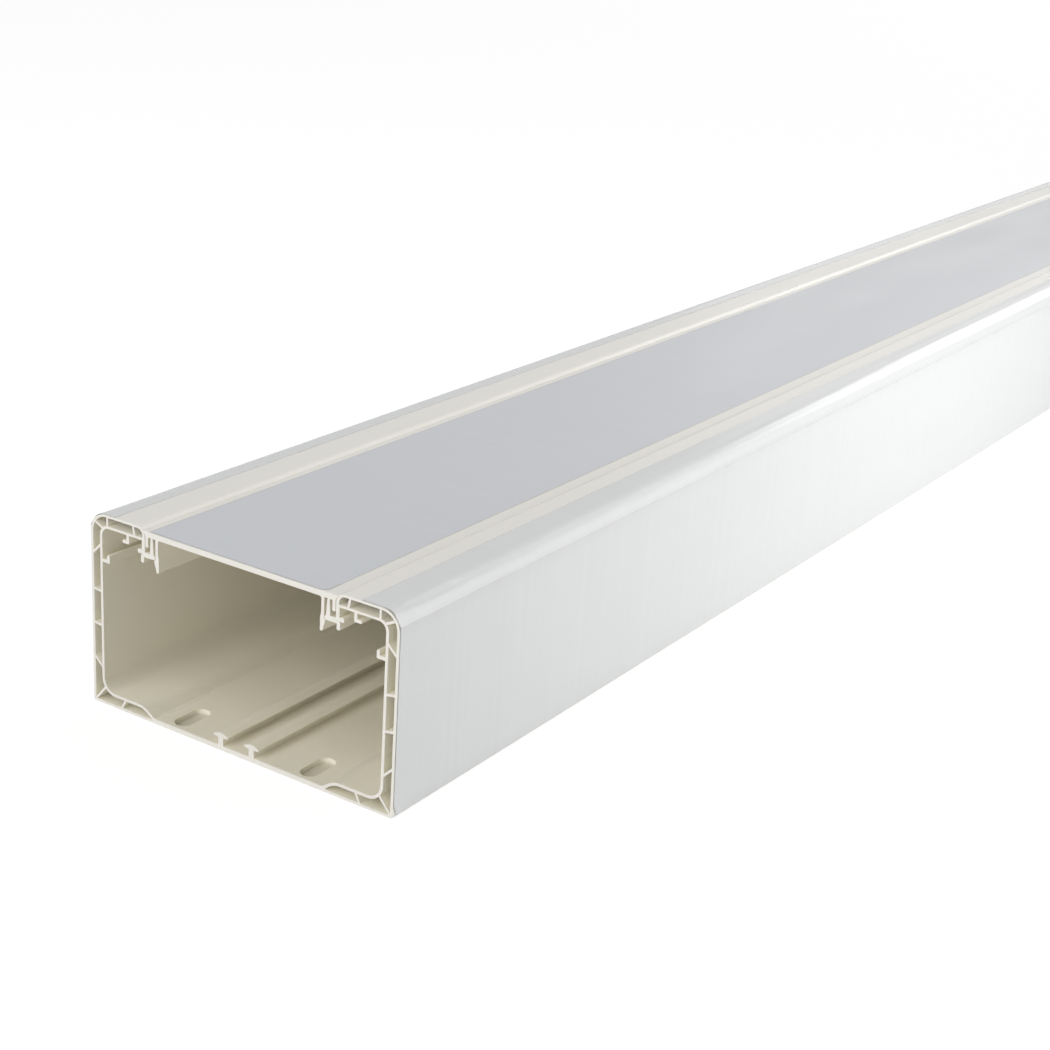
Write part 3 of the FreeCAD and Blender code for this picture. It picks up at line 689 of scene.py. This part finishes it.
def filmStrip(name, corners, foldPlace=None, creasePlace=None, bulgeCorners=None, turned=False):
    # The line that a film follows across the stock, with what varies along it: its run, its
    # creased fold, its edges and crease where its colour is painted darker as shade, its torn
    # corner and its bulge where it is loose.
    rounded = roundedPoints(corners, closed=False, arcStep=film["arcStep"])
    edge = film["edgeWidth"]
    points = [rounded[0]]
    for point in rounded[1:]:
        gap = point - points[-1]
        steps = max(1, math.ceil(gap.length / film["columnStep"]))
        origin = points[-1].copy()
        points.extend(origin + gap * step / steps for step in range(1, steps + 1))
    points.insert(1, points[0] + (points[1] - points[0]).normalized() * edge)
    points.insert(-1, points[-1] + (points[-2] - points[-1]).normalized() * edge)

    def runAlong(line):
        run = [0.0]
        for first, second in zip(line, line[1:]):
            run.append(run[-1] + (second - first).length)
        return run

    def nearness(point, place, reach):
        return 0.0 if place is None else max(0.0, 1 - (point - Vector(place)).length / reach)

    run = runAlong(points)
    fold = [nearness(point, foldPlace, film["foldReach"]) for point in points]
    # the edges and the crease, where the film's colour is painted darker as shade
    shadedRim = [nearness(point, creasePlace, film["creaseWidth"]) for point in points]
    shadedRim[0] = shadedRim[-1] = 1.0
    torn = [max(0.0, 1 - (run[-1] - here) / film["tornReach"]) ** 2 for here in run]
    loose = [Vector((0, 0))] * len(points)
    if bulgeCorners:
        bulge = roundedPoints(bulgeCorners, closed=False, arcStep=film["arcStep"])
        bulgeRun = runAlong(bulge)
        crease = min(range(len(points)), key=lambda i: (points[i] - Vector(creasePlace)).length)
        for number in range(crease):
            wanted = bulgeRun[-1] * run[number] / run[crease]
            after = next(i for i, here in enumerate(bulgeRun) if here >= wanted)
            before = max(0, after - 1)
            span = bulgeRun[after] - bulgeRun[before]
            share = (wanted - bulgeRun[before]) / span if span else 0.0
            loose[number] = bulge[before].lerp(bulge[after], share) - points[number]
    held = {"run": [here * mm for here in run], "fold": fold, "shadedRim": shadedRim, "torn": torn}
    order = range(len(points))[::-1] if turned else range(len(points))
    strip = plainObject(name, [(0, points[i].x * mm, points[i].y * mm) for i in order],
                        edges=[(i, i + 1) for i in range(len(points) - 1)])
    for label, values in held.items():
        attribute = strip.data.attributes.new(label, "FLOAT", "POINT")
        attribute.data.foreach_set("value", [values[i] for i in order])
    attribute = strip.data.attributes.new("loose", "FLOAT_VECTOR", "POINT")
    for item, i in zip(attribute.data, order):
        item.vector = (0, loose[i].x * mm, loose[i].y * mm)
    return strip


def newMaterial(name):
    material = bpy.data.materials.new(name)
    material.use_nodes = True
    tree = material.node_tree
    shader = tree.nodes["Principled BSDF"]
    place = addNode(tree, "ShaderNodeTexCoord").outputs["Object"]
    return material, tree, shader, place


def stretchedNoise(tree, place, scale, detail, roughness=noiseRoughness, turn=0.0):
    tilt = (math.radians(turn), 0, 0)
    moved = nodeOut(tree, "ShaderNodeMapping", {"Vector": place, "Rotation": tilt, "Scale": scale})
    return nodeOut(tree, "ShaderNodeTexNoise",
                   {"Vector": moved, "Scale": 1.0, "Detail": detail, "Roughness": roughness})


noiseMiddle = (0.3, 0.7)  # nearly all of a noise lies between these


def between(tree, value, low, high):
    # Stretches a noise's middle range over two colours or two numbers.
    if isinstance(low, tuple):
        ramp = addNode(tree, "ShaderNodeValToRGB", {0: value})
        for element, place, colour in zip(ramp.color_ramp.elements, noiseMiddle, (low, high)):
            element.position = place
            element.color = (*colour, 1)
        return ramp.outputs[0]
    return nodeOut(tree, "ShaderNodeMapRange",
                   {"Value": value, "From Min": noiseMiddle[0], "From Max": noiseMiddle[1],
                    "To Min": low, "To Max": high})


def mixColours(tree, factor, first, second):
    node = addNode(tree, "ShaderNodeMix", {0: factor}, data_type="RGBA")
    for socket, value in ((node.inputs[6], first), (node.inputs[7], second)):
        if isinstance(value, bpy.types.NodeSocket):
            tree.links.new(value, socket)
        else:
            socket.default_value = (*value, 1)
    return node.outputs[2]


def mixNoises(tree, first, share, second):
    return plus(tree, times(tree, first, share), times(tree, second, 1 - share))


def roughen(tree, shader, height, strength, distance):
    bump = nodeOut(tree, "ShaderNodeBump",
                   {"Height": height, "Strength": strength, "Distance": distance})
    tree.links.new(bump, shader.inputs["Normal"])


creamLook = {
    "pale": (0.825, 0.80, 0.745), "deep": (0.785, 0.76, 0.705),
    # the inside and cell colours are lighter and warmer than the outer faces: painted bounce light
    # in the cavity and, lightest, in the hollows
    "inside": (0.96, 0.915, 0.78), "cell": (1.0, 0.965, 0.83), "insideDip": 0.97,
    "dieLines": (1.2, 1500, 1500), "cloud": (9, 40, 40), "lineShare": 0.5,  # scales of noise
    "rough": (0.27, 0.34), "bump": (0.10, 0.00005),
    # depths in metres below the side, front and back, over which the inside's painted bounce light
    # fades out
    "sideFade": (0.0008, 0.0002), "frontFade": 0.001, "backFade": (0.0006, 0.0002),
}


def makeCreamPlastic(name, look):
    material, tree, shader, place = newMaterial(name)
    drawn = stretchedNoise(tree, place, look["dieLines"], detail=4.0, roughness=0.6)
    cloud = stretchedNoise(tree, place, look["cloud"], detail=2.0)
    mixed = mixNoises(tree, drawn, look["lineShare"], cloud)
    outside = between(tree, mixed, look["deep"], look["pale"])
    # inside the section the cream is painted lighter and warmer than on its outer faces: painted
    # bounce light in the cavity, and more of it on the points that line the hollows
    parts = separate(tree, place)
    across = maths(tree, "ABSOLUTE", parts["Y"])
    sideFace = stepBetween(tree, across, *[size.side * mm - depth for depth in look["sideFade"]])
    frontFace = stepBetween(tree, parts["Z"], size.lidUnder * mm,
                            size.lidTop * mm - look["frontFade"])
    backFace = stepBetween(tree, parts["Z"], *look["backFade"])
    shown = maths(tree, "MAXIMUM", maths(tree, "MAXIMUM", sideFace, frontFace), backFace)
    cell = addNode(tree, "ShaderNodeAttribute", attribute_name="cell").outputs["Fac"]
    lining = mixColours(tree, cell, look["inside"], look["cell"])
    inside = mixColours(tree, mixed, scaleVector(tree, lining, look["insideDip"]), lining)
    tree.links.new(mixColours(tree, shown, inside, outside), shader.inputs["Base Color"])
    tree.links.new(between(tree, cloud, *look["rough"]), shader.inputs["Roughness"])
    roughen(tree, shader, drawn, *look["bump"])
    return material


sawnLook = {
    "pale": (0.84, 0.815, 0.76), "deep": (0.79, 0.765, 0.70),
    "marks": (1, 160, 2600), "turn": 24, "crumb": (3000, 3000, 3000), "markShare": 0.6,
    "rough": (0.5, 0.68), "bump": (0.35, 0.00008),
}


def makeSawnPlastic(name, look):
    material, tree, shader, place = newMaterial(name)
    marks = stretchedNoise(tree, place, look["marks"], detail=3.0, roughness=0.6,
                           turn=look["turn"])
    crumb = stretchedNoise(tree, place, look["crumb"], detail=2.0)
    mixed = mixNoises(tree, marks, look["markShare"], crumb)
    tree.links.new(between(tree, mixed, look["deep"], look["pale"]), shader.inputs["Base Color"])
    tree.links.new(between(tree, marks, *look["rough"]), shader.inputs["Roughness"])
    roughen(tree, shader, mixed, *look["bump"])
    return material


filmLook = {
    "cloud": (7, 30, 30), "bands": (420, 6, 6), "cloudShare": 0.55,  # bands across the film
    # rimBreaks and rimLeast break up the painted shade along a film's edges and crease
    "rimBreaks": (90, 90, 90), "rimLeast": 0.35,
    "roughSwing": 1.4, "bumpDistance": 0.0001, "specular": 0.75,
}
# a film's rim colour is painted shade along its lifted edges and its crease
lidFilmLook = {
    "pale": (0.670, 0.690, 0.720), "deep": (0.640, 0.660, 0.690), "shadedRim": (0.47, 0.45, 0.42),
    "alpha": 0.88, "bump": 0.04, "rough": 0.28,
}
sideFilmLook = {
    "pale": (0.798, 0.807, 0.805), "deep": (0.768, 0.777, 0.775), "shadedRim": (0.66, 0.67, 0.66),
    "alpha": 0.85, "bump": 0.03, "rough": 0.17,
}


def makeFilm(name, look):
    material, tree, shader, place = newMaterial(name)
    cloud = stretchedNoise(tree, place, filmLook["cloud"], detail=2.0)
    bands = stretchedNoise(tree, place, filmLook["bands"], detail=2.0, roughness=0.5)
    mixed = mixNoises(tree, cloud, filmLook["cloudShare"], bands)
    # towards the edges and the crease the colour darkens to the rim colour: painted shade
    shadedRim = addNode(tree, "ShaderNodeAttribute", attribute_name="shadedRim").outputs["Fac"]
    breaks = stretchedNoise(tree, place, filmLook["rimBreaks"], detail=3.0)
    shown = times(tree, shadedRim, between(tree, breaks, filmLook["rimLeast"], 1.0))
    colour = mixColours(tree, shown, between(tree, mixed, look["deep"], look["pale"]), look["shadedRim"])
    tree.links.new(colour, shader.inputs["Base Color"])
    rough = between(tree, cloud, look["rough"], look["rough"] * filmLook["roughSwing"])
    tree.links.new(rough, shader.inputs["Roughness"])
    roughen(tree, shader, bands, look["bump"], filmLook["bumpDistance"])
    shader.inputs["Specular IOR Level"].default_value = filmLook["specular"]
    shader.inputs["Alpha"].default_value = look["alpha"]
    return material


cream = makeCreamPlastic("creamPlastic", creamLook)
sawn = makeSawnPlastic("sawnPlastic", sawnLook)
lidFilmFinish = makeFilm("lidFilm", lidFilmLook)
sideFilmFinish = makeFilm("sideFilm", sideFilmLook)
print("stage: materials made")

stockTree = makeStockTree()
filmTree = makeFilmTree()


def makeStock(name, section, slotRows):
    return grownPiece(name, section, stockTree, {
        "Length": stock["length"], "Slot Rows": slotRows, "Slot Pairs": stock["slotPairs"],
        "Slot Row": stock["slotRow"], "Slot End": stock["slotEnd"],
        "Slot Length": stock["slotLength"], "Slot Width": stock["slotWidth"],
        "Slot Depth": stock["slotDepth"], "Wall Material": cream, "Cut Material": sawn,
    })


baseSection = sectionObject("baseSection", [shellOutline(size)], [hollowOutline(size)],
                            allWebs(size) + [clipOutline(size)] + knobOutlines(size)
                            + hookOutlines(size) + [railOutline(size)])
trunkingBase = makeStock("trunkingBase", baseSection, slotRows=2)
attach(trunkingBase, "root")
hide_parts("trunking_base")
print("stage: base made,", len(trunkingBase.data.polygons), "faces")

lidSection = sectionObject("lidSection", [lidOutline(size)])
trunkingLid = makeStock("trunkingLid", lidSection, slotRows=0)
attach(trunkingLid, "root")
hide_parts("trunking_lid")
print("stage: lid made,", len(trunkingLid.data.polygons), "faces")

# Each film's own place across the stock in millimetres, its seed, and its lifts in metres.
lidFilm = {
    "leftInset": 1.8, "rightInset": 4.1, "seed": 1.0,
    "foldLift": 0.0, "flatLift": 0.0002, "endLift": 0.0002, "looseAmount": 0.0,
}
leftFilm = {
    "reach": 11, "seed": 2.0,
    "foldLift": 0.0001, "flatLift": 0.0001, "endLift": 0.0001, "looseAmount": 0.0,
}
rightFilm = {
    "reach": 15, "seed": 3.0,
    "foldLift": 0.00045, "flatLift": 0.0001, "endLift": 0.0003, "looseAmount": 1.0,
}


def makeFilmPiece(name, node, strip, material, own):
    piece = grownPiece(name, strip, filmTree, {
        "Length": stock["length"], "Rows": film["rows"], "Gap": film["gap"],
        "Thickness": film["thickness"], "Fold Lift": own["foldLift"],
        "Fold Stretch": film["foldStretch"], "Flat Lift": own["flatLift"],
        "Flat Stretch": film["flatStretch"], "Crease Slant": film["creaseSlant"],
        "End Lift": own["endLift"], "End Reach": film["endReach"], "Ragged": film["ragged"],
        "Torn Corner": film["tornCorner"], "Loose Start": film["looseStart"],
        "Loose End": film["looseEnd"], "Loose Amount": own["looseAmount"],
        "Seed": own["seed"], "Material": material,
    })
    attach(piece, "root")
    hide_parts(node)
    print("stage:", name, "made,", len(piece.data.polygons), "faces")


def sideFilmCorners(reach):
    # Down from its edge on the flange, over the round as one flat facet, then the wall.
    # The facet touches the round at this angle from the flange's face.
    half = math.radians(film["facetAngle"]) / 2
    rest = math.radians(90 - film["facetAngle"]) / 2
    foldX = size.side - size.cornerRound + size.cornerRound * math.tan(half)
    creaseZ = size.height - size.cornerRound + size.cornerRound * math.tan(rest)
    start = size.side - reach
    flat = [(start + (foldX - film["foldRound"] - start) * step / film["foldSteps"], size.height)
            for step in range(film["foldSteps"])]
    return flat + [(foldX, size.height, film["foldRound"]),
                   (size.side, creaseZ, film["creaseRound"]), (size.side, film["lowerEdge"])]


def looseCorners(reach, crease):
    # The same stretch where the film is loose, from its edge on the flange to its sharp crease.
    squeeze = reach / rightFilm["reach"]
    line = [(size.side - (rightFilm["reach"] - across) * squeeze, size.height + up)
            for across, up in film["looseLine"]]
    return [(size.side - reach, size.height)] + line + [crease]


def mirrored(corners):
    return [(-corner[0], *corner[1:]) for corner in corners]


def makeSideFilm(name, node, own, onLeft):
    corners = sideFilmCorners(own["reach"])
    bulge = looseCorners(own["reach"], corners[-2][:2])
    if not onLeft:
        corners, bulge = mirrored(corners), mirrored(bulge)
    strip = filmStrip(name + "Line", corners, corners[-3][:2], corners[-2][:2], bulge, onLeft)
    makeFilmPiece(name, node, strip, sideFilmFinish, own)


lidEdge = size.lip - size.sideClearance
leftEnd, rightEnd = lidEdge - lidFilm["leftInset"], lidFilm["rightInset"] - lidEdge
tornPlaces = [rightEnd + film["tornReach"] * (1 - step / film["tornSteps"])
              for step in range(film["tornSteps"] + 1)]
lidLine = [(place, size.lidTop) for place in [leftEnd] + tornPlaces]
makeFilmPiece("lidFilm", "lid_film", filmStrip("lidLine", lidLine), lidFilmFinish, lidFilm)
makeSideFilm("sideFilmLeft", "side_film_left", leftFilm, onLeft=True)
makeSideFilm("sideFilmRight", "side_film_right", rightFilm, onLeft=False)


studio = {
    "floorHalf": 30.0, "floorShade": (0.25, 0.25, 0.25, 1), "floorGlow": 0.85, "worldLight": 0.325,
    # the covered colour is the floor under the stock, painted darker and warmer: painted shade and
    # warm bounce light
    "floorColour": (0.85, 0.85, 0.85), "coveredPaintedShade": (0.72, 0.68, 0.56),
    "coveredMargin": 0.001,  # metres from the stock's outline in to the covered floor
}


def plainRay(tree):
    # One for the rays that show the white backdrop: straight ones, reflections and clear film.
    paths = addNode(tree, "ShaderNodeLightPath").outputs
    reflected = maths(tree, "MAXIMUM", paths["Is Glossy Ray"], paths["Is Transmission Ray"])
    return maths(tree, "MAXIMUM", paths["Is Camera Ray"], reflected)


floor = plainObject("floor", [(x * studio["floorHalf"], y * studio["floorHalf"], 0)
                              for x, y in squareCorners], faces=[(0, 1, 2, 3)])
floorPaint = bpy.data.materials.new("floorPaint")
floorPaint.use_nodes = True
tree = floorPaint.node_tree
tree.nodes.clear()
seen = nodeOut(tree, "ShaderNodeBsdfDiffuse", {"Color": studio["floorShade"]})
floorPlace = addNode(tree, "ShaderNodeTexCoord").outputs["Object"]
floorParts = separate(tree, floorPlace)
pastEnd = maths(tree, "GREATER_THAN", maths(tree, "ABSOLUTE", floorParts["X"]),
                stock["length"] / 2 - studio["coveredMargin"])
pastSide = maths(tree, "GREATER_THAN", maths(tree, "ABSOLUTE", floorParts["Y"]),
                 size.side * mm - studio["coveredMargin"])
clearFloor = maths(tree, "MAXIMUM", pastEnd, pastSide)
# under the stock, where it is seen through the slots, the floor is painted darker and warmer:
# painted shade and warm bounce light from the plastic
floorTone = mixColours(tree, clearFloor, studio["coveredPaintedShade"], studio["floorColour"])
bounced = nodeOut(tree, "ShaderNodeBsdfDiffuse", {"Color": floorTone})
glow = nodeOut(tree, "ShaderNodeEmission", {"Strength": studio["floorGlow"]})
added = nodeOut(tree, "ShaderNodeAddShader", {0: seen, 1: glow})
shown = times(tree, plainRay(tree), clearFloor)
both = nodeOut(tree, "ShaderNodeMixShader", {0: shown, 1: bounced, 2: added})
addNode(tree, "ShaderNodeOutputMaterial", {"Surface": both})
floor.data.materials.append(floorPaint)

world = bpy.data.worlds.new("studioWorld")
bpy.context.scene.world = world
world.use_nodes = True
tree = world.node_tree
tree.nodes.clear()
strength = nodeOut(tree, "ShaderNodeMapRange",
                   {"Value": plainRay(tree), "To Min": studio["worldLight"], "To Max": 1.0})
sky = nodeOut(tree, "ShaderNodeBackground", {"Color": (1, 1, 1, 1), "Strength": strength})
addNode(tree, "ShaderNodeOutputWorld", {"Surface": sky})


# Soft lamps: the middle, the way it faces, its width and height in metres, and how bright
# its face is, where one is as bright as white paper under plain light.
lamps = {
    "sideNear": ((-0.56, -0.6, 0.265), (0, 1, 0), 0.31, 0.47, 6.5),
    "front": ((-2.6, 0.55, 1.4), (1, 0, 0), 1.6, 1.0, 2.6),
    "frontTop": ((-1.9, 0.4, 2.0), (0.45, 0, -0.89), 1.6, 0.8, 1.3),
    "frontLow": ((-2.6, -0.1, 0.43), (1, 0, 0), 1.0, 0.8, 3.8),
    "backTop": ((2.6, -0.2, 4.35), (-0.65, 0, -0.76), 2.0, 1.0, 3.0),
    "backHigh": ((3.0, -0.15, 1.62), (-1, 0, 0), 2.1, 1.0, 2.6),
    "backRight": ((3.0, -2.55, 1.65), (-1, 0, 0), 1.6, 1.0, 1.2),
    "backLeft": ((3.0, 1.45, 0.95), (-1, 0, 0), 1.1, 1.0, 0.45),
}
for name, (middle, facing, width, height, brightness) in lamps.items():
    light = bpy.data.lights.new(name, "AREA")
    light.shape = "RECTANGLE"
    light.size, light.size_y = width, height
    light.energy = brightness * math.pi * width * height
    lamp = bpy.data.objects.new(name, light)
    bpy.context.scene.collection.objects.link(lamp)
    lamp.location = middle
    lamp.rotation_euler = Vector(facing).to_track_quat("-Z", "Y").to_euler()
    lamp.visible_camera = False


camera = {
    "lens": 65.99, "sensor": 36, "clipStart": 0.01,
    "place": (-1.42688, -0.38006, 0.29915), "turn": (69.422, -3.455, -56.096),
}
lensData = bpy.data.cameras.new("photoCamera")
lensData.lens = camera["lens"]
lensData.sensor_width = camera["sensor"]
lensData.clip_start = camera["clipStart"]
viewer = bpy.data.objects.new("photoCamera", lensData)
bpy.context.scene.collection.objects.link(viewer)
viewer.location = camera["place"]
viewer.rotation_euler = [math.radians(angle) for angle in camera["turn"]]
bpy.context.scene.camera = viewer
bpy.context.scene.view_settings.view_transform = "Standard"
print("stage: floor, light and camera set")
